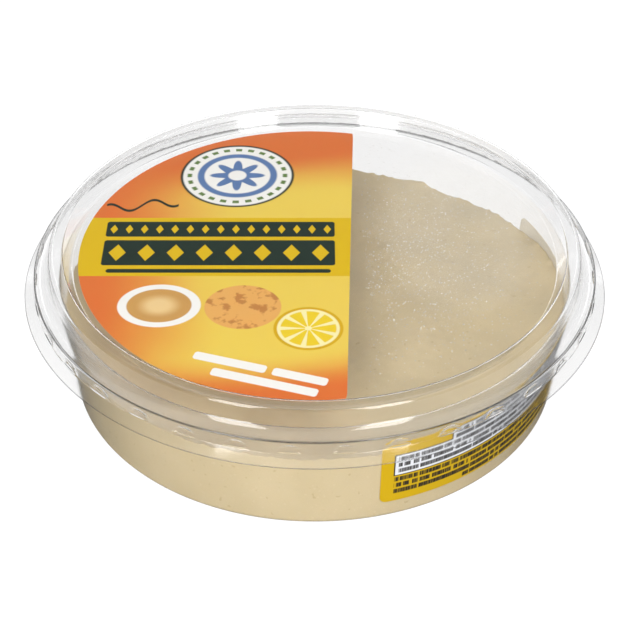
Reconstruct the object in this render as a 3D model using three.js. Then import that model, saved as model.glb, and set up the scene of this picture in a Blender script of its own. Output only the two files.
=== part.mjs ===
// A clear round tub of hummus with its press-fit lid, a label on the lid and a label on the wall.
// Millimetres, +Z up, the tub's base on z = 0, the front of the pack toward -Y.

import * as THREE from 'three';

// Driving dimensions
const TUB_BASE_RADIUS = 62.8;
const TUB_MOUTH_RADIUS = 64.9;
const TUB_MOUTH_HEIGHT = 32.8;
const TUB_FLANGE_RADIUS = 70.4;
const TUB_BASE_CORNER = 1.8;
const TUB_SHEET = 0.5;
const FLANGE_UNDERSIDE = TUB_MOUTH_HEIGHT - TUB_SHEET;
const BASE_PANEL_RADIUS = 54;
const BASE_PANEL_RISE = 0.8;
const BASE_PANEL_SLOPE = 2;

const LID_SHEET = 0.5;
const LID_PANEL_RADIUS = 61.4;
const LID_PANEL_HEIGHT = 35;
const LID_RING_HEIGHT = 39.6;
const LID_RING_INNER_RADIUS = 63.6;
const LID_RING_OUTER_RADIUS = 66.9;
const LID_LEDGE_RADIUS = 68;
const LID_LEDGE_HEIGHT = 33.6;
const LID_SHOULDER_RADIUS = 71.2;
const LID_CREASE_RADIUS = 71.5;
const LID_CREASE_HEIGHT = 30.2;
const LID_SKIRT_RADIUS = 74;
const LID_SKIRT_HEIGHT = 28.3;
const LUG_COUNT = 36;
const LUG_DEPTH = 1.1;
const LUG_TOP = 32.2;
const LUG_SHELF = 30.8;
const FIRST_LUG_DEGREES = 5.5;

const LEVEL_MEAN = 21.2;
const LEVEL_MIDDLE = 20.6;
const LEVEL_WAVES = [
  { turns: 1, height: 1.2, peak: 0 },
  { turns: 2, height: 1.2, peak: 79 },
  { turns: 3, height: 0.5, peak: 93 },
  { turns: 4, height: 0.5, peak: 88 },
];
const TOP_RING_RADII = [58, 50, 40, 28, 15];
const RIPPLE_HEIGHT = 0.5;
const RIPPLE_LENGTH = 34;

const LID_LABEL_RADIUS = 58.5;
const LID_LABEL_CENTRE_X = -1.5;
const LID_LABEL_THICKNESS = 0.2;
const LID_LABEL_CHORD_FRONT = [7.4, -57.8];
const LID_LABEL_CHORD_BACK = [10.8, 57.2];
const LABEL_LIFT = 0.1;

const SIDE_LABEL_START_DEGREES = 14;
const SIDE_LABEL_SWEEP_DEGREES = 104.5;
const SIDE_LABEL_BOTTOM = 5.6;
const SIDE_LABEL_TOP = 25;
const SIDE_LABEL_THICKNESS = 0.2;

const CLEARANCE = 0.3;
const ROUND_STEPS = 72;
const LABEL_STEPS = 48;
const DEGREE = Math.PI / 180;

// Materials
const clearPlastic = new THREE.MeshStandardMaterial({
  color: 0xe9edef, roughness: 0.08, metalness: 0, transparent: true, opacity: 0.3,
});
const hummusPaste = new THREE.MeshStandardMaterial({ color: 0xd2bf9d, roughness: 0.6, metalness: 0 });
const lidPrint = new THREE.MeshStandardMaterial({ color: 0xe08a3c, roughness: 0.4, metalness: 0 });
const sidePrint = new THREE.MeshStandardMaterial({ color: 0xd9ae22, roughness: 0.4, metalness: 0 });

// Profile helpers

/** Rounds each inner corner of an outline: a corner is [radius, height, fillet, steps]. */
function roundedLine(corners) {
  const points = [];
  corners.forEach(([radius, height, fillet = 0, steps = 1], index) => {
    const corner = new THREE.Vector2(radius, height);
    if (!fillet) {
      points.push(corner);
      return;
    }
    const before = new THREE.Vector2(...corners[index - 1].slice(0, 2)).sub(corner).normalize();
    const after = new THREE.Vector2(...corners[index + 1].slice(0, 2)).sub(corner).normalize();
    const halfAngle = Math.acos(before.dot(after)) / 2;
    const reach = fillet / Math.tan(halfAngle);
    const start = corner.clone().addScaledVector(before, reach);
    const end = corner.clone().addScaledVector(after, reach);
    const bend = new THREE.QuadraticBezierCurve(start, corner, end);
    points.push(...bend.getPoints(steps));
  });
  return points;
}

/** Gives a line of points its thickness, on the side to the right of its direction. */
function offsetLine(points, thickness) {
  const normals = points.slice(1).map((point, index) => {
    const along = point.clone().sub(points[index]).normalize();
    return new THREE.Vector2(along.y, -along.x);
  });
  return points.map((point, index) => {
    const first = normals[Math.max(index - 1, 0)];
    const second = normals[Math.min(index, normals.length - 1)];
    const mitre = first.clone().add(second).multiplyScalar(1 / (1 + first.dot(second)));
    return point.clone().addScaledVector(mitre, thickness);
  });
}

/** Turns a profile of radius and height about +Z, with angle zero at the front. */
function turned(profile, startDegrees = 0) {
  const geometry = new THREE.LatheGeometry(profile, ROUND_STEPS, startDegrees * DEGREE);
  return geometry.rotateX(Math.PI / 2);
}

/** A formed sheet turned about +Z: its thickness lies under the line, or over it where negative. */
function formedSheet(line, thickness, startDegrees) {
  const other = offsetLine(line, thickness);
  const [under, over] = thickness > 0 ? [other, line] : [line, other];
  return turned([...under, ...over.slice().reverse()], startDegrees);
}

/** The tub wall's outside radius at a height. */
function wallRadius(height) {
  return THREE.MathUtils.mapLinear(height, 0, FLANGE_UNDERSIDE, TUB_BASE_RADIUS, TUB_MOUTH_RADIUS);
}

// The tub

function tubGeometry() {
  const outside = roundedLine([
    [0, BASE_PANEL_RISE],
    [BASE_PANEL_RADIUS, BASE_PANEL_RISE],
    [BASE_PANEL_RADIUS + BASE_PANEL_SLOPE, 0],
    [TUB_BASE_RADIUS, 0, TUB_BASE_CORNER, 3],
    [TUB_MOUTH_RADIUS, FLANGE_UNDERSIDE],
    [TUB_FLANGE_RADIUS, FLANGE_UNDERSIDE],
  ]);
  return formedSheet(outside, -TUB_SHEET);
}

// The hummus

/** The height of the hummus at an angle from the front and a share of its radius. */
function hummusLevel(angle, share) {
  const atWall = LEVEL_WAVES.reduce(
    (sum, wave) => sum + wave.height * Math.cos(wave.turns * (angle - wave.peak * DEGREE)),
    LEVEL_MEAN,
  );
  const radius = share * TUB_BASE_RADIUS;
  const x = radius * Math.sin(angle);
  const y = -radius * Math.cos(angle);
  const ripple = Math.sin((2 * Math.PI * x) / RIPPLE_LENGTH) * Math.cos((2 * Math.PI * y) / RIPPLE_LENGTH);
  return THREE.MathUtils.lerp(LEVEL_MIDDLE, atWall, share * share) + RIPPLE_HEIGHT * ripple;
}

function hummusGeometry() {
  const inset = TUB_SHEET + CLEARANCE;
  const sideRadius = (height) => wallRadius(height) - inset;
  const below = roundedLine([
    [0, BASE_PANEL_RISE + inset],
    [BASE_PANEL_RADIUS, BASE_PANEL_RISE + inset],
    [BASE_PANEL_RADIUS + BASE_PANEL_SLOPE, inset],
    [sideRadius(inset), inset, TUB_BASE_CORNER, 2],
    [sideRadius(LEVEL_MEAN), LEVEL_MEAN],
  ]);
  const top = [...TOP_RING_RADII, 0].map((radius) => new THREE.Vector2(radius, LEVEL_MEAN));
  const geometry = turned([...below, ...top]);
  const position = geometry.attributes.position;
  for (let index = 0; index < position.count; index += 1) {
    if (Math.abs(position.getZ(index) - LEVEL_MEAN) > 0.01) continue;
    const x = position.getX(index);
    const y = position.getY(index);
    const share = Math.min(Math.hypot(x, y) / sideRadius(LEVEL_MEAN), 1);
    const level = hummusLevel(Math.atan2(x, -y), share);
    const reach = share > 0.999 ? sideRadius(level) / sideRadius(LEVEL_MEAN) : 1;
    position.setXYZ(index, x * reach, y * reach, level);
  }
  return geometry;
}

// The lid

/** Presses the catch lugs into the skirt's upright band: on their shelf, every other column moves inward. */
function pressLugs(geometry) {
  const position = geometry.attributes.position;
  for (let index = 0; index < position.count; index += 1) {
    const x = position.getX(index);
    const y = position.getY(index);
    const z = position.getZ(index);
    const radius = Math.hypot(x, y);
    const onShelf = radius > TUB_FLANGE_RADIUS && Math.abs(z - LUG_SHELF) < LID_SHEET / 2;
    const turnsFromLug = ((Math.atan2(x, -y) / DEGREE - FIRST_LUG_DEGREES) * LUG_COUNT) / 360;
    const onLug = Math.abs(turnsFromLug - Math.round(turnsFromLug)) < 0.1;
    if (!onShelf || !onLug) continue;
    const reach = (radius - LUG_DEPTH) / radius;
    position.setXYZ(index, x * reach, y * reach, z);
  }
  return geometry;
}

function lidGeometry() {
  const bandPoint = (height) => {
    const drop = (LID_LEDGE_HEIGHT - height) / (LID_LEDGE_HEIGHT - LID_CREASE_HEIGHT);
    return [THREE.MathUtils.lerp(LID_SHOULDER_RADIUS, LID_CREASE_RADIUS, drop), height];
  };
  const outside = roundedLine([
    [0, LID_PANEL_HEIGHT],
    [LID_PANEL_RADIUS, LID_PANEL_HEIGHT, 0.8, 2],
    [LID_RING_INNER_RADIUS, LID_RING_HEIGHT, 0.5],
    [LID_RING_OUTER_RADIUS, LID_RING_HEIGHT, 0.7],
    [LID_LEDGE_RADIUS, LID_LEDGE_HEIGHT, 1.6, 2],
    [LID_SHOULDER_RADIUS, LID_LEDGE_HEIGHT, 0.5],
    bandPoint(LUG_TOP),
    bandPoint(LUG_SHELF),
    bandPoint(LID_CREASE_HEIGHT),
    [LID_SKIRT_RADIUS, LID_SKIRT_HEIGHT],
  ]);
  return pressLugs(formedSheet(outside, LID_SHEET, FIRST_LUG_DEGREES));
}

// The labels

/** A round label cut straight along its right side. */
function lidLabelGeometry() {
  const centre = new THREE.Vector2(LID_LABEL_CENTRE_X, 0);
  const angleTo = ([x, y]) => Math.atan2(y - centre.y, x - centre.x);
  const outline = new THREE.Shape();
  outline.absarc(
    centre.x, centre.y, LID_LABEL_RADIUS,
    angleTo(LID_LABEL_CHORD_BACK), angleTo(LID_LABEL_CHORD_FRONT) + 2 * Math.PI, false,
  );
  outline.closePath();
  return new THREE.ExtrudeGeometry(outline, {
    depth: LID_LABEL_THICKNESS, bevelEnabled: false, curveSegments: LABEL_STEPS,
  });
}

/** A flat strip bent round the tub's wall. */
function sideLabelGeometry() {
  const height = SIDE_LABEL_TOP - SIDE_LABEL_BOTTOM;
  const geometry = new THREE.BoxGeometry(
    SIDE_LABEL_SWEEP_DEGREES, SIDE_LABEL_THICKNESS, height, LABEL_STEPS / 2, 1, 1,
  );
  const position = geometry.attributes.position;
  for (let index = 0; index < position.count; index += 1) {
    const angle = position.getX(index) + SIDE_LABEL_START_DEGREES + SIDE_LABEL_SWEEP_DEGREES / 2;
    const z = position.getZ(index) + SIDE_LABEL_BOTTOM + height / 2;
    const outward = SIDE_LABEL_THICKNESS / 2 - position.getY(index);
    const radius = wallRadius(z) + CLEARANCE + outward;
    position.setXYZ(index, radius * Math.sin(angle * DEGREE), -radius * Math.cos(angle * DEGREE), z);
  }
  return geometry;
}

// The pack

function piece(name, geometry, material) {
  const mesh = new THREE.Mesh(geometry, material);
  mesh.name = name;
  return mesh;
}

const pack = new THREE.Group();
pack.add(piece('tub', tubGeometry(), clearPlastic));
pack.add(piece('hummus', hummusGeometry(), hummusPaste));
pack.add(piece('lid', lidGeometry(), clearPlastic));
pack.add(piece('side_label', sideLabelGeometry(), sidePrint));

const lidLabel = piece('lid_label', lidLabelGeometry(), lidPrint);
lidLabel.position.z = LID_PANEL_HEIGHT + LABEL_LIFT;
pack.add(lidLabel);

export default pack;
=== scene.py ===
"""A clear round tub of hummus with its press-fit lid and two labels, in plain soft studio light."""

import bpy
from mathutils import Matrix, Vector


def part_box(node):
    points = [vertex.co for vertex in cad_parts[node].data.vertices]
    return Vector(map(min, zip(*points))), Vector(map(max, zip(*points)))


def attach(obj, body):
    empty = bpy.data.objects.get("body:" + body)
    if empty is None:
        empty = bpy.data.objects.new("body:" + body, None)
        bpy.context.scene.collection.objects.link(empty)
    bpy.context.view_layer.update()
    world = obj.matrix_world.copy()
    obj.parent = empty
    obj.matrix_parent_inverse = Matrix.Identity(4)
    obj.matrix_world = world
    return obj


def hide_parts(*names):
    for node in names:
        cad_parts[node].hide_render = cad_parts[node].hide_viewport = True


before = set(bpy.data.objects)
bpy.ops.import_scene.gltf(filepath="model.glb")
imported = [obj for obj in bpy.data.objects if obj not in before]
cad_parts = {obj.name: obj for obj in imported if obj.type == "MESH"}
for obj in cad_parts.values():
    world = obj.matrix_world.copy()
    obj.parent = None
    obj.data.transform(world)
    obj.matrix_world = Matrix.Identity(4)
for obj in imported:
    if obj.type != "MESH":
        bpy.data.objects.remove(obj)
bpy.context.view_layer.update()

import math

import bpy
import numpy as np

MM = 0.001
TURN = 2 * math.pi

# Sizes of the pack, in millimetres, with the driving ones read from the frame
tub_high = np.array(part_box("tub")[1]) / MM
lid_low, lid_high = (np.array(corner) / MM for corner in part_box("lid"))
FLANGE_RADIUS = tub_high[0]
MOUTH_HEIGHT = tub_high[2]
SKIRT_RADIUS = lid_high[0]
CUT_EDGE_ROOM = 0.25
SKIRT_HEIGHT = lid_low[2] + CUT_EDGE_ROOM
RING_HEIGHT = lid_high[2]
# The solids' sheet thickness, and the thinner real one that is drawn
SHEET = 0.5
FORMED = 0.3
LEAST_FILLET = 0.25
BASE_RADIUS = 62.8
MOUTH_RADIUS = 64.9
BASE_CORNER = 1.8
BASE_PANEL = 54
BASE_RISE = 0.8
BASE_SLOPE = 2
PANEL_RADIUS = 61.4
PANEL_HEIGHT = 35
RING_INNER = 63.6
RING_OUTER = 66.9
LEDGE_RADIUS = 68
LEDGE_HEIGHT = 33.6
SHOULDER_RADIUS = 71.2
CREASE_RADIUS = 71.5
CREASE_HEIGHT = 30.2
LUG_COUNT = 36
LUG_DEPTH = 0.45
LUG_HALF_WIDTH = 2.2
LUG_TOP = 32.6
LUG_SHELF = 30.55
FIRST_LUG = 5.5
BEAD_RADIUS = 0.13
BEAD_SIDES = 8
LID_COLUMNS = 576

# The hummus level at the wall: turns round the wall, height and the angle of the peak
LEVEL_MEAN = 21.2
LEVEL_MIDDLE = 20.6
LEVEL_WAVES = ((1, 1.2, 0), (2, 1.2, 79), (3, 0.5, 93), (4, 0.5, 88))
RIPPLE_HEIGHT = 0.5
RIPPLE_LENGTH = 34
# Soft waves on the hummus: length, rise and count
SOFT_WAVES = ((18, 0.045, 8), (8, 0.016, 10), (3.5, 0.006, 14))
RAGGED_RISE = 0.11
RAGGED_REACH = 1.1
HUMMUS_COLUMNS = 440
# The height where the hummus's side starts to follow the level, and how deep the side sinks into the sheet
SIDE_CLIMB_START = 18
HUMMUS_OVERLAP = 0.12
# Lumps of paste at the wall: angle, spread in degrees, rise and reach inward
WALL_LUMPS = ((152, 3.0, 0.6, 2.5), (139, 2.2, 0.5, 2.0), (171, 3.5, 0.5, 2.2), (96, 3.5, 0.4, 2.5),
              (213, 4.0, 0.6, 2.5), (262, 5.0, 0.6, 3.0), (301, 3.0, 0.5, 2.0))

# The labels
LID_LABEL_RADIUS = 58.5
LID_LABEL_CENTRE = -1.5
CHORD_FRONT = (7.4, -57.8)
CHORD_BACK = (10.8, 57.2)
LABEL_THICKNESS = 0.12
LABEL_LIFT = 0.02
SIDE_START = 14
SIDE_SWEEP = 104.5
SIDE_BOTTOM = 5.6
SIDE_TOP = 25
SIDE_CORNER = 1.8

# The mist: tries at a bead, how far out and left beads may be, and the film's radius and thickness
MIST_TRIES = 16000
MIST_RADIUS = 58
MIST_LEFT = 12.5
FILM_RADIUS = 60
FILM_THICKNESS = 0.03

# The studio: half the floor's side in millimetres, and how far off the softboxes stand in metres
FLOOR_HALF = 3000.0
LIGHT_DISTANCE = 1.2


# Meshes

def rounded_line(corners, arc_points=8):
    """A line through corners of (radius, height, fillet), each fillet a true arc between its two straights."""
    points = []
    for index, (radius, height, *fillet) in enumerate(corners):
        corner = np.array([radius, height], float)
        if not fillet:
            points.append(corner)
            continue
        before = np.array(corners[index - 1][:2]) - corner
        after = np.array(corners[index + 1][:2]) - corner
        before = before / np.linalg.norm(before)
        after = after / np.linalg.norm(after)
        half = math.acos(before @ after) / 2
        reach = fillet[0] / math.tan(half)
        middle = before + after
        centre = corner + middle / np.linalg.norm(middle) * fillet[0] / math.sin(half)
        start = corner + before * reach - centre
        end = corner + after * reach - centre
        sweep = math.pi - 2 * half
        share = np.linspace(0, 1, arc_points)[:, None]
        arc = centre + (np.sin((1 - share) * sweep) * start + np.sin(share * sweep) * end) / math.sin(sweep)
        points.extend(arc)
    return np.array(points)


def offset_corners(corners, thickness):
    """The corners moved to the right of their line's direction, with the fillets that keep the sheet even.

    A corner moves along its mitre. Its fillet grows where the line turns left and shrinks where it turns right.
    """
    points = np.array([corner[:2] for corner in corners], float)
    along = np.diff(points, axis=0)
    along /= np.linalg.norm(along, axis=1, keepdims=True)
    normal = np.stack([along[:, 1], -along[:, 0]], axis=1)
    first = np.vstack([normal[:1], normal])
    second = np.vstack([normal, normal[-1:]])
    mitre = (first + second) / (1 + (first * second).sum(axis=1, keepdims=True))
    moved = points + mitre * thickness
    turns_left = first[:, 0] * second[:, 1] - first[:, 1] * second[:, 0] > 0
    return [
        (*place, *(max(fillet + (thickness if left else -thickness), LEAST_FILLET) for fillet in corner[2:]))
        for corner, place, left in zip(corners, moved, turns_left)
    ]


def sheet_profile(corners, thickness):
    """The closed outline of a formed sheet: the offset side from the axis outward, and the given side back."""
    under = rounded_line(offset_corners(corners, thickness))
    return np.vstack([under, rounded_line(corners)[::-1]])


def make_piece(name, vertices, faces, material, replaces=(), sharp=math.radians(40)):
    """Puts vertices in millimetres and faces into a new smooth-shaded piece of the pack."""
    mesh = bpy.data.meshes.new(name)
    mesh.from_pydata((vertices * MM).tolist(), [], faces)
    mesh.polygons.foreach_set("use_smooth", np.ones(len(mesh.polygons), bool))
    mesh.set_sharp_from_angle(angle=sharp)
    mesh.materials.append(material)
    piece = bpy.data.objects.new(name, mesh)
    bpy.context.scene.collection.objects.link(piece)
    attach(piece, "root")
    if replaces:
        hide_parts(*replaces)
    return piece


def turned(radius, height, columns, centre_x=0.0):
    """The closed surface of a profile turned about an upright axis.

    radius and height run from the axis at the bottom, outward, and back to the axis at the top, in one row or
    in a row for each column. A point is at radius times (sin angle, -cos angle), with angle zero at the front.
    """
    points = radius.shape[-1]
    radius = np.broadcast_to(radius, (columns, points))
    height = np.broadcast_to(height, (columns, points))
    angle = np.arange(columns)[:, None] * TURN / columns
    x = radius * np.sin(angle) + centre_x
    y = -radius * np.cos(angle)
    grid = np.stack([x, y, height], axis=-1)
    rings = grid[:, 1:-1].reshape(-1, 3)
    poles = [[centre_x, 0, height[0, 0]], [centre_x, 0, height[0, -1]]]
    vertices = np.vstack([rings, poles])
    inner = points - 2
    column = np.arange(columns)
    beside = (column + 1) % columns
    row = np.arange(inner - 1)
    a = column[:, None] * inner + row
    b = beside[:, None] * inner + row
    quads = np.stack([a, b, b + 1, a + 1], axis=-1).reshape(-1, 4)
    low_pole = np.full(columns, columns * inner)
    low = np.stack([low_pole, beside * inner, column * inner], axis=-1)
    high = np.stack([column * inner + inner - 1, beside * inner + inner - 1, low_pole + 1], axis=-1)
    return vertices, quads.tolist() + low.tolist() + high.tolist()


def wall_radius(height):
    """The tub wall's outside radius at a height, which grows evenly from the base to the flange."""
    return BASE_RADIUS + (MOUTH_RADIUS - BASE_RADIUS) * height / (MOUTH_HEIGHT - SHEET)


def smooth(value):
    """A soft step from 0 to 1 as the value goes from 0 to 1."""
    value = np.clip(value, 0, 1)
    return value * value * (3 - 2 * value)


# Shader building

class Wire:
    """A socket in a node tree. Arithmetic on wires adds Math nodes."""

    def __init__(self, paint, socket):
        self.paint = paint
        self.socket = socket

    def out(self, name):
        return Wire(self.paint, self.socket.node.outputs[name])

    def math(self, operation, *values):
        return self.paint.node("ShaderNodeMath", {"operation": operation}, values)

    def __add__(self, other):
        return self.math("ADD", self, other)

    def __sub__(self, other):
        return self.math("SUBTRACT", self, other)

    def __rsub__(self, other):
        return self.math("SUBTRACT", other, self)

    def __mul__(self, other):
        return self.math("MULTIPLY", self, other)

    def __truediv__(self, other):
        return self.math("DIVIDE", self, other)

    def __pow__(self, other):
        return self.math("POWER", self, other)

    def __mod__(self, other):
        return self.math("FLOORED_MODULO", self, other)

    def __and__(self, other):
        return self.math("MINIMUM", self, other)

    def __or__(self, other):
        return self.math("MAXIMUM", self, other)

    def __abs__(self):
        return self.math("ABSOLUTE", self)

    __radd__ = __add__
    __rmul__ = __mul__

    def step(self, low, high):
        """A soft step from 0 at low to 1 at high."""
        settings = {"interpolation_type": "SMOOTHSTEP"}
        return self.paint.node("ShaderNodeMapRange", settings, [self, low, high, 0.0, 1.0])


class Paint:
    """The node tree of a new material or world, and the method that adds any node to it."""

    def __init__(self, owner):
        self.owner = owner
        owner.use_nodes = True
        self.tree = owner.node_tree
        self.tree.nodes.clear()

    def node(self, kind, settings=(), inputs=(), output=0):
        node = self.tree.nodes.new(kind)
        for key, value in dict(settings).items():
            setattr(node, key, value)
        for key, value in inputs.items() if isinstance(inputs, dict) else enumerate(inputs):
            if isinstance(value, Wire):
                self.tree.links.new(value.socket, node.inputs[key])
            else:
                node.inputs[key].default_value = value
        return Wire(self, node.outputs[output]) if node.outputs else None

    def place(self):
        """The x, y and z of a point on the object, in millimetres, and the three as one vector."""
        objects = self.node("ShaderNodeTexCoord").out("Object")
        scaled = self.node("ShaderNodeVectorMath", {"operation": "SCALE"}, {0: objects, "Scale": 1 / MM})
        parts = self.node("ShaderNodeSeparateXYZ", {}, [scaled])
        return parts, parts.out("Y"), parts.out("Z"), scaled

    def noise(self, place, length, detail=2.0, roughness=0.5):
        """Smooth noise whose features are about a length across, in millimetres."""
        inputs = {"Vector": place, "Scale": 1 / length, "Detail": detail, "Roughness": roughness}
        return self.node("ShaderNodeTexNoise", {"noise_dimensions": "3D"}, inputs)

    def mix(self, mask, low, high):
        """The low colour where the mask is 0 and the high colour where it is 1."""
        return self.node("ShaderNodeMix", {"data_type": "RGBA"}, {0: mask, 6: low, 7: high}, output=2)

    def bump(self, height, strength, distance):
        return self.node("ShaderNodeBump", {}, {"Strength": strength, "Distance": distance, "Height": height})

    def principled(self, **inputs):
        named = {key.replace("_", " "): value for key, value in inputs.items()}
        return self.node("ShaderNodeBsdfPrincipled", {}, named)

    def clear(self, tint, **inputs):
        """A surface that bends and mirrors what is seen, and lets lamps and soft light straight through."""
        bent = self.principled(Transmission_Weight=1.0, **inputs)
        straight = self.node("ShaderNodeBsdfTransparent", {}, {"Color": tint})
        rays = self.node("ShaderNodeLightPath")
        lighting = rays.out("Is Shadow Ray") | rays.out("Is Diffuse Ray")
        return self.node("ShaderNodeMixShader", {}, [lighting, bent, straight])

    def finish(self, surface, output="ShaderNodeOutputMaterial"):
        self.node(output, {}, {"Surface": surface})
        return self.owner


def new_paint(name):
    return Paint(bpy.data.materials.new(name))


def colour(red, green, blue):
    """A screen colour from 0 to 255 as the linear colour that a shader takes."""
    screen = np.array([red, green, blue]) / 255
    linear = np.where(screen <= 0.04045, screen / 12.92, ((screen + 0.055) / 1.055) ** 2.4)
    return (*linear.tolist(), 1.0)


# Materials

def clear_plastic():
    """Clear formed sheet, a little wavy all over, with fine streaks down its rim from the forming. The lid's
    outer shoulder has painted shade: its base colour is darkened to grey there, standing in for the dark line
    that a tight bend shows when it is seen along the sheet."""
    paint = new_paint("clear_plastic")
    x, y, z, place = paint.place()
    radius = (x * x + y * y) ** 0.5
    rim = radius.step(60, 63)
    # Painted shade: a grey band of base colour round the lid's outer shoulder, for the dark line of the bend
    shoulder = radius.step(70.7, 71.0) * z.step(32.9, 33.3)
    tint = paint.mix(shoulder, (1, 1, 1, 1), (0.42, 0.42, 0.42, 1))
    flat = paint.node("ShaderNodeCombineXYZ", {}, [x, y, 0.0])
    around = paint.node("ShaderNodeVectorMath", {"operation": "NORMALIZE"}, [flat])
    streaks = paint.noise(around, 0.03, detail=2.0) * rim
    waves = paint.noise(place, 9.0, detail=1.0)
    normal = paint.bump(streaks * 0.16 + waves, 0.12, 0.3 * MM)
    rough = rim * 0.06 + 0.02
    passed = (0.975, 0.975, 0.98, 1)
    return paint.finish(paint.clear(passed, Base_Color=tint, Roughness=rough, IOR=1.5, Normal=normal))


def cut_edge():
    """The lid's trimmed edge, with painted shade: a grey see-through tint, darker than the sheet's, stands in
    for the dark line the edge shows because light that enters it runs off along the sheet.
    """
    paint = new_paint("cut_edge")
    _, _, _, place = paint.place()
    # Painted shade: the edge passes only 0.78 of what is behind it, against the sheet's 0.975
    straight = paint.node("ShaderNodeBsdfTransparent", {}, {"Color": (0.78, 0.78, 0.79, 1)})
    gloss = paint.node("ShaderNodeBsdfGlossy", {}, {"Color": (1, 1, 1, 1), "Roughness": 0.2})
    share = paint.noise(place, 6.0).step(0.3, 0.7) * 0.06 + 0.04
    return paint.finish(paint.node("ShaderNodeMixShader", {}, [share, straight, gloss]))


def water_bead():
    """Mist beads under the lid, each a soft white speck that what is behind it shows through. The white is a
    painted highlight, standing in for the small glint that a clear bead of water shows.
    """
    paint = new_paint("water_bead")
    _, _, _, place = paint.place()
    straight = paint.node("ShaderNodeBsdfTransparent", {}, {"Color": (1, 1, 1, 1)})
    # Painted highlight: the beads' white share stands in for their glints
    white = paint.principled(Base_Color=(0.97, 0.95, 0.88, 1), Roughness=0.3, Specular_IOR_Level=0.5)
    share = paint.noise(place, 0.5).step(0.3, 0.7) * 0.4 + 0.38
    return paint.finish(paint.node("ShaderNodeMixShader", {}, [share, straight, white]))


def mist_film():
    """The film of mist under the lid: a thin white veil in an oval patch beside the label, fading outward."""
    paint = new_paint("mist_film")
    x, y, _, place = paint.place()
    patch = from_centre(x, y, (37, 9), 21, 38) + (paint.noise(place, 14.0, detail=2.0) - 0.5) * 0.35
    uneven = paint.noise(place, 7.0, detail=2.0).step(0.2, 0.8) * 0.2 + 0.9
    share = patch.step(1.15, 0.6) * uneven * 0.07
    straight = paint.node("ShaderNodeBsdfTransparent", {}, {"Color": (1, 1, 1, 1)})
    white = paint.principled(Base_Color=(0.97, 0.93, 0.84, 1), Roughness=0.6, Specular_IOR_Level=0.2)
    return paint.finish(paint.node("ShaderNodeMixShader", {}, [share, straight, white]))


def hummus_paste():
    """Soft moist paste: a warm tan, a little uneven, with a few pale and dark flecks and a faint gloss."""
    paint = new_paint("hummus_paste")
    _, _, _, place = paint.place()
    clouds = paint.noise(place, 15.0, detail=3.0)
    grain = paint.noise(place, 0.8, detail=2.0)
    flecks = paint.noise(place, 0.7, detail=0.0).step(0.72, 0.80)
    dark_flecks = paint.noise(place, 1.1, detail=0.0).step(0.76, 0.83)
    body = paint.mix(clouds.step(0.3, 0.7), (0.565, 0.458, 0.272, 1), (0.605, 0.494, 0.302, 1))
    pale = paint.mix(flecks * 0.2, body, (0.72, 0.62, 0.42, 1))
    speckled = paint.mix(dark_flecks * 0.3, pale, (0.34, 0.22, 0.09, 1))
    relief = grain * 0.35 + clouds * 0.5
    surface = paint.principled(
        Base_Color=speckled, Roughness=0.5, Specular_IOR_Level=0.28,
        Subsurface_Weight=0.12, Subsurface_Radius=(0.003, 0.002, 0.001), Subsurface_Scale=0.4,
        Normal=paint.bump(relief, 0.22, 0.2 * MM),
    )
    return paint.finish(surface)


def inside_box(x, y, left, right, low, high, soft=0.12):
    """A mask that is 1 inside an upright box and 0 outside, with soft edges."""
    across = abs(x - (left + right) / 2).step((right - left) / 2 + soft, (right - left) / 2 - soft)
    up = abs(y - (low + high) / 2).step((high - low) / 2 + soft, (high - low) / 2 - soft)
    return across * up


def rounded_bar(x, y, left, right, low, high, corner=0.8):
    """A mask of a box with round corners: the distance past a smaller box stays under the corner's radius."""
    across = (abs(x - (left + right) / 2) - ((right - left) / 2 - corner)) | 0.0
    up = (abs(y - (low + high) / 2) - ((high - low) / 2 - corner)) | 0.0
    return ((across * across + up * up) ** 0.5).step(corner + 0.12, corner - 0.12)


def from_centre(x, y, centre, half_width, half_height):
    """The distance from an oval's centre, 1 on its edge."""
    across = (x - centre[0]) / half_width
    up = (y - centre[1]) / half_height
    return (across * across + up * up) ** 0.5


def inside(distance, edge=1.0, soft=0.02):
    """A mask that is 1 where a distance is under an edge, with a soft rim."""
    return distance.step(edge + soft, edge - soft)


def petals(paint, x, y, centre, count):
    """A wave round a centre, from -1 to 1, with a count of peaks."""
    turn = paint.node("ShaderNodeMath", {"operation": "ARCTAN2"}, [y - centre[1], x - centre[0]])
    return (turn * count).math("COSINE", turn * count)


def diamonds(x, y, left, pitch, middle, half_width, half_height):
    """A mask of diamonds in a row: across and up, each in halves of its size, add up to less than 1."""
    across = abs((x - left) % pitch - pitch / 2) / half_width
    return inside(across + abs(y - middle) / half_height, 1.0, 0.06)


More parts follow.
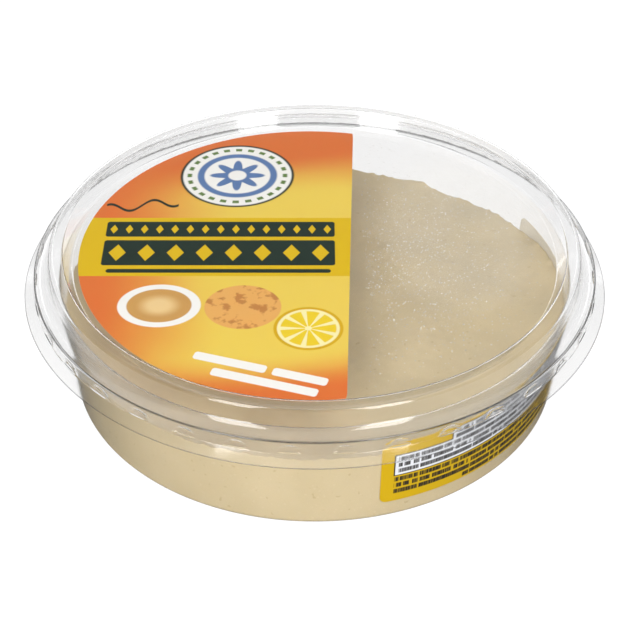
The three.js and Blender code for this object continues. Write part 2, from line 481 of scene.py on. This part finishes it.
def lid_print():
    """The lid label: an orange field that turns yellow to the right, a yellow band with two dark bars cut by
    diamonds, a round rosette, and a lemon, a flatbread and a bowl of dip as plain shapes. Some light comes
    through it. Its pale back is painted with most of the front's colours, as painted light for the coloured
    light that shines through the label."""
    paint = new_paint("lid_print")
    x, y, z, place = paint.place()
    drift = paint.noise(place, 30.0, detail=1.0) * 14
    orange = colour(214, 112, 50)
    deep_orange = colour(210, 110, 48)
    soft_yellow = colour(226, 196, 84)
    band_yellow = colour(212, 176, 10)
    ink = colour(22, 42, 32)
    white = colour(236, 234, 228)
    blue = colour(88, 118, 164)
    green = colour(92, 122, 54)

    field = paint.mix((x + drift + 6).step(-40, -8), orange, soft_yellow)
    field = paint.mix((y + drift * 0.6 - x * 0.15).step(30, 52), field, deep_orange)
    field = paint.mix((y - drift * 0.5 - x * 0.1).step(-44, -58), field, orange)
    face = paint.mix(inside_box(x, y, -70, 70, -10.8, 15), field, band_yellow)

    upper = rounded_bar(x, y, -54, 5.2, 6.4, 13.2) * (1 - diamonds(x, y, -54, 3.95, 9.8, 1.0, 2.0))
    lower = rounded_bar(x, y, -54, 5.2, -6.2, 4.8) * (1 - diamonds(x, y, -54, 7.4, -0.7, 2.2, 3.6))
    face = paint.mix(upper | lower | rounded_bar(x, y, -52.5, 4.1, -9.4, -7.8), face, ink)
    swash = abs(y - 21 - (x * 0.55).math("SINE", x * 0.55) * 2.0 - (x + 45) * 0.18)
    face = paint.mix(swash.step(0.7, 0.4) * inside_box(x, y, -55, -36, 10, 32), face, ink)

    badge_centre = (-21, 35.5)
    badge = from_centre(x, y, badge_centre, 15.4, 15.4)
    face = paint.mix(inside(badge), face, ink)
    face = paint.mix(inside(badge, 0.955), face, white)
    beads = petals(paint, x, y, badge_centre, 24).step(-0.2, 0.2)
    face = paint.mix(inside(badge, 0.88) * (1 - inside(badge, 0.80)) * beads, face, green)
    face = paint.mix(inside(badge, 0.70) * (1 - inside(badge, 0.58)), face, blue)
    rosette = petals(paint, x, y, badge_centre, 8) * 0.12 + 0.36
    face = paint.mix((badge - rosette).step(0.03, -0.03), face, blue)
    face = paint.mix(inside(badge, 0.16), face, white)

    bowl = from_centre(x, y, (-38, -23), 10.2, 8.6)
    face = paint.mix(inside(bowl), face, white)
    dip = paint.mix(inside(bowl, 0.4, 0.2), colour(196, 150, 84), colour(226, 194, 138))
    face = paint.mix(inside(bowl, 0.78), face, dip)
    bread = from_centre(x, y, (-17.5, -23.5), 9.4, 8.8)
    scorch = paint.noise(place, 2.6, detail=2.0).step(0.52, 0.66)
    baked = paint.mix(scorch * 0.55, colour(222, 166, 92), colour(150, 78, 28))
    face = paint.mix(inside(bread), face, baked)
    lemon_centre = (-1.5, -32)
    lemon = from_centre(x, y, lemon_centre, 8.4, 8.4)
    face = paint.mix(inside(lemon), face, colour(206, 164, 14))
    face = paint.mix(inside(lemon, 0.90), face, colour(240, 228, 168))
    wedges = petals(paint, x, y, lemon_centre, 9).step(-0.75, -0.45)
    wedges = wedges * inside(lemon, 0.80) * (1 - inside(lemon, 0.1))
    face = paint.mix(wedges, face, colour(228, 196, 40))

    along = x * math.cos(math.radians(18)) - y * math.sin(math.radians(18))
    across = x * math.sin(math.radians(18)) + y * math.cos(math.radians(18))
    lines = rounded_bar(along, across, -14, 4, -50.2, -47.4) | rounded_bar(along, across, 5.6, 19, -50.2, -47.4)
    lines = lines | rounded_bar(along, across, -8, 18, -54.6, -51.8)
    face = paint.mix(lines, face, white)

    # Painted light: the back keeps 70 per cent of the front's print, for the coloured light that shines through
    back = z.step(PANEL_HEIGHT + LABEL_LIFT + 0.06, PANEL_HEIGHT + LABEL_LIFT + 0.03)
    face = paint.mix(back * 0.3, face, colour(214, 208, 194))
    surface = paint.principled(
        Base_Color=face, Roughness=0.28, Specular_IOR_Level=0.35,
        Subsurface_Weight=0.45, Subsurface_Radius=(0.001, 0.001, 0.001), Subsurface_Scale=0.3,
        Normal=paint.bump(paint.noise(place, 12.0), 0.15, 0.2 * MM),
    )
    return paint.finish(surface)


def side_print():
    """The wall label: yellow with a framed white box of small grey bars, and three rows of dark bars under it.
    Its back, which shows through the wall over the hummus, is pale."""
    paint = new_paint("side_print")
    x, y, z, place = paint.place()
    uv = paint.node("ShaderNodeTexCoord").out("UV")
    parts = paint.node("ShaderNodeSeparateXYZ", {}, [uv])
    across = parts * SIDE_SWEEP + SIDE_START
    up = parts.out("Y") * (SIDE_TOP - SIDE_BOTTOM) + SIDE_BOTTOM
    ink = colour(34, 30, 26)
    crisp = 0.05
    frame_mask = inside_box(across, up, 16.8, 78, 14.0, 20.9, crisp)
    frame_mask = frame_mask | inside_box(across, up, 30, 78, 14.0, 24.4, crisp)
    box_mask = inside_box(across, up, 17.1, 77.7, 14.25, 20.6, crisp)
    box_mask = box_mask | inside_box(across, up, 30.3, 77.7, 14.25, 24.1, crisp)
    face = paint.mix(frame_mask, colour(199, 162, 8), ink)
    face = paint.mix(box_mask, face, colour(222, 224, 228))

    def words(first, rows, pitch, thick, left, right):
        """Rows of small bars of uneven length, as lines of words look from a step away."""
        row = (up - first) / pitch
        number = row.math("FLOOR", row)
        seed = paint.node("ShaderNodeCombineXYZ", {}, [across, number * 7.3, 0.0])
        gaps = paint.node("ShaderNodeTexNoise", {}, {"Vector": seed, "Scale": 1.3, "Detail": 1.0})
        strokes = paint.node("ShaderNodeTexNoise", {}, {"Vector": seed, "Scale": 5.5, "Detail": 1.0})
        shown = gaps.step(0.36, 0.40) * (strokes.step(0.34, 0.5) * 0.6 + 0.4)
        in_row = abs(row % 1 - 0.5).step(thick / pitch / 2 + 0.06, thick / pitch / 2 - 0.06)
        return shown * in_row * inside_box(across, up, left, right, first, first + rows * pitch, 0.1)

    face = paint.mix(words(14.6, 3, 1.9, 1.3, 17.8, 77) * 0.95, face, ink)
    face = paint.mix(words(20.4, 2, 1.8, 1.2, 31, 77) * 0.95, face, ink)
    face = paint.mix(words(7.8, 3, 2.0, 1.4, 17.0, 78), face, ink)
    face = paint.mix(words(5.85, 1, 1.95, 1.3, 34, 66), face, ink)
    spot = from_centre(across, up, (82, 17), 3.2, 3.4)
    face = paint.mix(inside(spot), face, colour(206, 100, 40))
    wall_slope = (MOUTH_RADIUS - BASE_RADIUS) / (MOUTH_HEIGHT - SHEET)
    from_wall = (x * x + y * y) ** 0.5 - (z * wall_slope + BASE_RADIUS)
    back = from_wall.step(LABEL_LIFT + 0.06, LABEL_LIFT + 0.03)
    face = paint.mix(back, face, colour(238, 234, 222))
    surface = paint.principled(
        Base_Color=face, Roughness=0.4, Specular_IOR_Level=0.4,
        Normal=paint.bump(paint.noise(place, 9.0), 0.1, 0.2 * MM),
    )
    return paint.finish(surface)


def floor_finish():
    """A plain pale floor, evenly white in the picture, that gives little light back to the pack.

    Near the pack its mirror image is dim. Far off it is dim through the plastic, which darkens the outlines.
    """
    paint = new_paint("pale_floor")
    x, y, _, place = paint.place()
    tone = paint.mix(paint.noise(place, 60.0), (0.13, 0.13, 0.13, 1), (0.15, 0.15, 0.15, 1))
    rays = paint.node("ShaderNodeLightPath")
    far = ((x * x + y * y) ** 0.5).step(300, 600)
    mirrored = rays.out("Is Reflection Ray") * (1 - far)
    bent = rays.out("Is Transmission Ray") * far
    dimmed = rays.out("Is Diffuse Ray") | mirrored | bent
    glow = paint.mix(dimmed, (1, 1, 1, 1), (0.03, 0.03, 0.03, 1))
    return paint.finish(paint.principled(
        Base_Color=tone, Roughness=0.9, Specular_IOR_Level=0.1, Emission_Color=glow, Emission_Strength=0.92,
    ))


# The tub

def make_tub(plastic):
    """A sheet's profile turned about the axis: panel, standing ring, corner, wall and flange.

    The corners are the outside's, moved inward by the sheet, so that the drawn sheet keeps the solid's outside.
    """
    inner = offset_corners([
        (0, BASE_RISE),
        (BASE_PANEL, BASE_RISE, 1.2),
        (BASE_PANEL + BASE_SLOPE, 0, 0.8),
        (BASE_RADIUS, 0, BASE_CORNER),
        (wall_radius(MOUTH_HEIGHT - FORMED), MOUTH_HEIGHT - FORMED, 0.6),
        (FLANGE_RADIUS, MOUTH_HEIGHT - FORMED),
    ], -FORMED)
    profile = sheet_profile(inner, FORMED)
    vertices, faces = turned(profile[:, 0], profile[:, 1], 360)
    make_piece("clear_tub", vertices, faces, plastic, ["tub"])


# The hummus

def wall_level(angle):
    """The hummus level at the wall: a mean with four waves round the wall."""
    waves = (height * np.cos(turns * (angle - math.radians(peak))) for turns, height, peak in LEVEL_WAVES)
    return LEVEL_MEAN + sum(waves)


def hummus_level(angle, share):
    """The level at an angle and a share of the radius: from the middle's level to the wall's by the share
    squared, plus a checkered ripple, random soft waves, a rounded lump at each place in WALL_LUMPS, and a
    ragged rim within a millimetre of the wall."""
    radius = share * BASE_RADIUS
    inward = BASE_RADIUS - radius
    x = radius * np.sin(angle)
    y = -radius * np.cos(angle)
    ripple = np.sin(TURN * x / RIPPLE_LENGTH) * np.cos(TURN * y / RIPPLE_LENGTH)
    level = LEVEL_MIDDLE + (wall_level(angle) - LEVEL_MIDDLE) * share**2 + RIPPLE_HEIGHT * ripple
    random = np.random.default_rng(7)
    for length, rise, count in SOFT_WAVES:
        for _ in range(count):
            heading, phase = random.uniform(0, TURN, 2)
            wave_number = TURN / (length * random.uniform(0.8, 1.3))
            level = level + rise * np.sin(wave_number * (x * np.cos(heading) + y * np.sin(heading)) + phase)
    for peak, spread, rise, reach in WALL_LUMPS:
        turn_off = (np.degrees(angle) - peak + 180) % 360 - 180
        level = level + rise * np.exp(-((turn_off / spread) ** 2) - (inward / reach) ** 2)
    ragged = sum(
        np.sin(turns * angle + random.uniform(0, TURN))
        for turns in random.integers(18, 150, 16)
    )
    return level + RAGGED_RISE * np.maximum(ragged, -0.5) * np.exp(-((inward / RAGGED_REACH) ** 2))


def make_hummus(paste):
    """A turned shape whose underside follows the tub's inside, a hair into its sheet.

    Its side climbs to the level at the wall, and its top is at the level of each angle and share of the radius.
    """
    bury = FORMED - HUMMUS_OVERLAP
    inner_base = BASE_RISE + bury
    below = rounded_line([
        (0, inner_base),
        (BASE_PANEL, inner_base, 1.0),
        (BASE_PANEL + BASE_SLOPE, bury, 0.8),
        (wall_radius(bury) - bury, bury, BASE_CORNER - 0.3),
        (wall_radius(SIDE_CLIMB_START) - bury, SIDE_CLIMB_START),
    ])
    columns = HUMMUS_COLUMNS
    angle = np.arange(columns)[:, None] * TURN / columns
    edge_level = hummus_level(angle, np.ones_like(angle))
    climb = np.linspace(0, 1, 10)[1:]
    side_height = SIDE_CLIMB_START + (edge_level - SIDE_CLIMB_START) * climb
    side_radius = wall_radius(side_height) - bury
    share = 1 - np.linspace(0, 1, 118)[1:] ** 1.5
    top_radius = side_radius[:, -1:] * share
    top_height = hummus_level(angle, np.broadcast_to(share, (columns, len(share))))
    below_radius = np.broadcast_to(below[:, 0], (columns, len(below)))
    below_height = np.broadcast_to(below[:, 1], (columns, len(below)))
    radius = np.hstack([below_radius, side_radius, top_radius])
    height = np.hstack([below_height, side_height, top_height])
    vertices, faces = turned(radius, height, columns)
    make_piece("hummus_fill", vertices, faces, paste, ["hummus"], math.radians(60))


# The lid

def lug_dent(angle, height):
    """How far the skirt's band is pressed in: scoops that deepen from an arched top to a shelf."""
    pitch = TURN / LUG_COUNT
    off = (angle - math.radians(FIRST_LUG) + pitch / 2) % pitch - pitch / 2
    across = np.degrees(np.abs(off)) / LUG_HALF_WIDTH
    arch = np.sqrt(np.clip(1 - across**2, 0, 1))
    top = LUG_SHELF + (LUG_TOP - LUG_SHELF) * arch
    down = (top - height) / (LUG_TOP - LUG_SHELF)
    shelf = smooth((height - CREASE_HEIGHT) / (LUG_SHELF - CREASE_HEIGHT))
    return LUG_DEPTH * smooth(down * 2.2) * smooth((1 - across) * 4) * shelf


def make_lid(plastic):
    """A sheet's profile turned about the axis: panel, ring, ledge, shoulder, band and flare.

    Each column's band is pressed in by the lugs' depth at its angle.
    """
    band_heights = np.linspace(LEDGE_HEIGHT - 0.75, CREASE_HEIGHT, 17)
    drop = (LEDGE_HEIGHT - band_heights) / (LEDGE_HEIGHT - CREASE_HEIGHT)
    band_radii = SHOULDER_RADIUS + (CREASE_RADIUS - SHOULDER_RADIUS) * drop
    profile = sheet_profile([
        (0, PANEL_HEIGHT),
        (PANEL_RADIUS, PANEL_HEIGHT, 0.5),
        (RING_INNER, RING_HEIGHT, 0.6),
        (RING_OUTER, RING_HEIGHT, 1.4),
        (LEDGE_RADIUS, LEDGE_HEIGHT, 2.6),
        (SHOULDER_RADIUS, LEDGE_HEIGHT, 0.55),
        *zip(band_radii[:-1], band_heights[:-1]),
        (CREASE_RADIUS, CREASE_HEIGHT, 0.3),
        (SKIRT_RADIUS, SKIRT_HEIGHT),
    ], FORMED)
    columns = LID_COLUMNS
    angle = np.arange(columns)[:, None] * TURN / columns
    in_band = (profile[:, 0] > RING_OUTER + 2) & (profile[:, 1] < LEDGE_HEIGHT - 0.6)
    dent = np.where(in_band, lug_dent(angle, profile[:, 1]), 0)
    vertices, faces = turned(profile[:, 0] - dent, profile[:, 1], columns)
    make_piece("clear_lid", vertices, faces, plastic, ["lid"])


def make_cut_edge(edge):
    """A fine round bead along the flare's trimmed edge: a small circle turned about the axis."""
    point = np.arange(BEAD_SIDES)
    around = point * TURN / BEAD_SIDES
    radius = SKIRT_RADIUS - BEAD_RADIUS + BEAD_RADIUS * np.cos(around)
    height = SKIRT_HEIGHT - BEAD_RADIUS * 0.6 + BEAD_RADIUS * np.sin(around)
    column = np.arange(LID_COLUMNS)[:, None]
    angle = column * TURN / LID_COLUMNS
    grid = np.stack([radius * np.sin(angle), -radius * np.cos(angle), height + 0 * angle], axis=-1)
    start = column * BEAD_SIDES
    beside = (column + 1) % LID_COLUMNS * BEAD_SIDES
    after = (point + 1) % BEAD_SIDES
    quads = np.stack([start + point, beside + point, beside + after, start + after], axis=-1)
    make_piece("lid_edge", grid.reshape(-1, 3), quads.reshape(-1, 4).tolist(), edge)


# The labels

def make_lid_label(printed):
    """A flat plate whose edge is the nearer of a circle and the straight cut in each direction."""
    columns = 720
    angle = np.arange(columns) * TURN / columns
    direction = np.stack([np.sin(angle), -np.cos(angle)], axis=-1)
    cut = np.array(CHORD_BACK) - np.array(CHORD_FRONT)
    normal = np.array([cut[1], -cut[0]]) / np.linalg.norm(cut)
    gap = (np.array(CHORD_FRONT) - [LID_LABEL_CENTRE, 0]) @ normal
    toward = direction @ normal
    to_cut = np.where(toward > 0.01, gap / np.maximum(toward, 0.01), np.inf)
    edge = np.minimum(LID_LABEL_RADIUS, to_cut)[:, None]
    share = np.array([0, 0.5, 1, 1, 0.5, 0])
    bottom = PANEL_HEIGHT + LABEL_LIFT
    top = bottom + LABEL_THICKNESS
    height = np.array([bottom, bottom, bottom, top, top, top])
    vertices, faces = turned(edge * share, height, columns, LID_LABEL_CENTRE)
    make_piece("round_label", vertices, faces, printed, ["lid_label"])


def slab(outer, inner):
    """A thin closed plate between two grids of points, rows upward and columns to the right."""
    rows, columns = outer.shape[:2]
    ring = np.concatenate([outer, inner[:, ::-1]], axis=1)
    width = 2 * columns
    row = np.arange(rows - 1)[:, None]
    step = np.arange(width)
    beside = (step + 1) % width
    sides = np.stack([row * width + step, row * width + beside,
                      (row + 1) * width + beside, (row + 1) * width + step], axis=-1).reshape(-1, 4)
    front = np.arange(columns - 1)
    back = width - 1 - front
    low = np.stack([front, back, back - 1, front + 1], axis=-1)
    high = np.stack([front, front + 1, back - 1, back], axis=-1) + (rows - 1) * width
    return ring.reshape(-1, 3), sides.tolist() + low.tolist() + high.tolist()


def make_side_label(printed):
    """A strip bent round the wall, with rounded corners where a row's width shrinks along a quarter circle."""
    rows, columns = 33, 131
    height = SIDE_TOP - SIDE_BOTTOM
    up = (1 - np.cos(np.linspace(0, math.pi, rows))) / 2 * height
    from_edge = np.minimum(np.minimum(up, height - up), SIDE_CORNER)
    inset = SIDE_CORNER - np.sqrt(SIDE_CORNER**2 - (SIDE_CORNER - from_edge) ** 2)
    half = wall_radius(SIDE_BOTTOM) * math.radians(SIDE_SWEEP) / 2
    across = np.linspace(-1, 1, columns) * ((half - inset) / half)[:, None]
    angle = math.radians(SIDE_START + SIDE_SWEEP / 2) + across * math.radians(SIDE_SWEEP) / 2
    z = np.broadcast_to((SIDE_BOTTOM + up)[:, None], angle.shape)

    def at(radius):
        return np.stack([radius * np.sin(angle), -radius * np.cos(angle), z], axis=-1)

    inner = at(wall_radius(z) + LABEL_LIFT)
    outer = at(wall_radius(z) + LABEL_LIFT + LABEL_THICKNESS)
    vertices, faces = slab(outer, inner)
    label = make_piece("wall_label", vertices, faces, printed, ["side_label"])
    turn = np.degrees(np.arctan2(vertices[:, 0], -vertices[:, 1]))
    uv = np.stack([(turn - SIDE_START) / SIDE_SWEEP, (vertices[:, 2] - SIDE_BOTTOM) / height], axis=-1)
    corner_vertex = np.empty(len(label.data.loops), np.int32)
    label.data.loops.foreach_get("vertex_index", corner_vertex)
    layer = label.data.uv_layers.new(name="print")
    layer.data.foreach_set("uv", uv[corner_vertex].astype(np.float32).ravel())


# The mist under the lid

def make_mist(bead):
    """Flat domes that hang from the panel's underside, at random places beside the label."""
    random = np.random.default_rng(11)
    radius_out = MIST_RADIUS * np.sqrt(random.uniform(0, 1, MIST_TRIES))
    angle = random.uniform(0, TURN, MIST_TRIES)
    x = radius_out * np.sin(angle)
    y = -radius_out * np.cos(angle)
    weight = 0.5 * np.exp(-(((x - 23) / 23) ** 2) - ((y + 3) / 34) ** 2) + 0.05
    kept = (x > MIST_LEFT) & (random.uniform(0, 1, MIST_TRIES) < weight)
    x, y = x[kept], y[kept]
    size = random.uniform(0.09, 0.15, len(x)) * random.choice([1, 1, 1, 1, 1, 1.4], len(x))
    share = np.array([0, 0.6, 0.92, 1.0, 0])
    depth = np.array([0.45, 0.36, 0.17, 0, 0])
    dome, faces = turned(share, -depth, 8)
    hung_from = np.stack([x, y, np.full(len(x), PANEL_HEIGHT - FORMED)], axis=-1)
    every = dome[None] * size[:, None, None] + hung_from[:, None]
    shifted = [[corner + number * len(dome) for corner in face] for number in range(len(x)) for face in faces]
    make_piece("lid_mist", every.reshape(-1, 3), shifted, bead)


def make_film(film):
    """A thin closed disc just under the panel, over the part of it that the label leaves clear."""
    radius = np.array([0, 0.5, 1, 1, 0.5, 0]) * FILM_RADIUS
    top = PANEL_HEIGHT - FORMED - 0.01
    height = np.array([top - FILM_THICKNESS] * 3 + [top] * 3)
    vertices, faces = turned(radius, height, 96)
    make_piece("mist_veil", vertices, faces, film)


# The studio

def make_floor():
    corners = np.array([[-1, -1, 0], [1, -1, 0], [1, 1, 0], [-1, 1, 0]])
    mesh = bpy.data.meshes.new("floor")
    mesh.from_pydata((corners * FLOOR_HALF * MM).tolist(), [], [[0, 1, 2, 3]])
    mesh.materials.append(floor_finish())
    floor = bpy.data.objects.new("floor", mesh)
    bpy.context.scene.collection.objects.link(floor)


def make_softbox(name, azimuth, elevation, width, height, radiance, mirrored=True, lights=True):
    """A flat soft light aimed at the pack, which is mirrored in its plastic, lights it, or both.

    Azimuth 0 is at the front and grows to the right.
    """
    light = bpy.data.lights.new(name, "AREA")
    light.shape = "RECTANGLE"
    light.size = width
    light.size_y = height
    light.energy = radiance * math.pi * width * height
    holder = bpy.data.objects.new(name, light)
    turn, rise = math.radians(azimuth), math.radians(elevation)
    holder.location = (
        LIGHT_DISTANCE * math.sin(turn) * math.cos(rise),
        -LIGHT_DISTANCE * math.cos(turn) * math.cos(rise),
        LIGHT_DISTANCE * math.sin(rise) + 0.02,
    )
    holder.rotation_euler = (math.pi / 2 - rise, 0, turn)
    holder.visible_camera = False
    holder.visible_glossy = mirrored
    holder.visible_transmission = mirrored
    holder.visible_diffuse = lights
    bpy.context.scene.collection.objects.link(holder)


def make_surroundings():
    """A dim room: bright overhead, fairly bright in front, dark to the left and right, pale low at the back."""
    paint = Paint(bpy.data.worlds.new("studio"))
    direction = paint.node("ShaderNodeTexCoord").out("Generated")
    parts = paint.node("ShaderNodeSeparateXYZ", {}, [direction])
    up = parts.out("Z")
    back = paint.mix(up.step(0.42, 0.25), (0.24, 0.24, 0.24, 1), (0.95, 0.95, 0.95, 1))
    tone = paint.mix(parts.out("Y").step(-0.1, 0.1), (0.55, 0.55, 0.55, 1), back)
    tone = paint.mix(abs(parts).step(0.45, 0.8), tone, (0.05, 0.05, 0.055, 1))
    tone = paint.mix(up.step(0.72, 0.86), tone, (0.95, 0.95, 0.95, 1))
    background = paint.node("ShaderNodeBackground", {}, {"Color": tone, "Strength": 1.0})
    return paint.finish(background, "ShaderNodeOutputWorld")


def make_studio():
    scene = bpy.context.scene
    scene.view_settings.view_transform = "Standard"
    scene.cycles.transparent_max_bounces = 32
    scene.world = make_surroundings()
    # The key and the fill light the pack unseen, and the strips are what its plastic mirrors
    make_softbox("key", -1, 31, 0.9, 0.80, 3.12, mirrored=False)
    make_softbox("strip_left", -31, 27, 0.36, 1.05, 5.6)
    make_softbox("strip_right", 28, 27, 0.36, 1.05, 5.6)
    make_softbox("back_fill", 180, 8, 1.6, 0.3, 2.4, mirrored=False)
    make_softbox("back_strip", 180, 13, 1.1, 0.2, 2.4, lights=False)
    make_softbox("back_left", -150, 29, 0.1, 0.4, 2.8, lights=False)
    make_softbox("back_right", 150, 29, 0.1, 0.4, 2.8, lights=False)


def make_camera():
    camera = bpy.data.cameras.new("camera")
    camera.sensor_width = 36
    camera.lens = 96.24
    camera.clip_start = 0.01
    holder = bpy.data.objects.new("camera", camera)
    holder.location = (0, -348.9 * MM, 282.5 * MM)
    holder.rotation_euler = (math.radians(90 - 37.468), 0, math.radians(0.049))
    bpy.context.scene.collection.objects.link(holder)
    bpy.context.scene.camera = holder


make_camera()
make_studio()
make_floor()
plastic = clear_plastic()
make_tub(plastic)
make_hummus(hummus_paste())
make_lid(plastic)
make_lid_label(lid_print())
make_side_label(side_print())
make_mist(water_bead())
make_film(mist_film())
make_cut_edge(cut_edge())
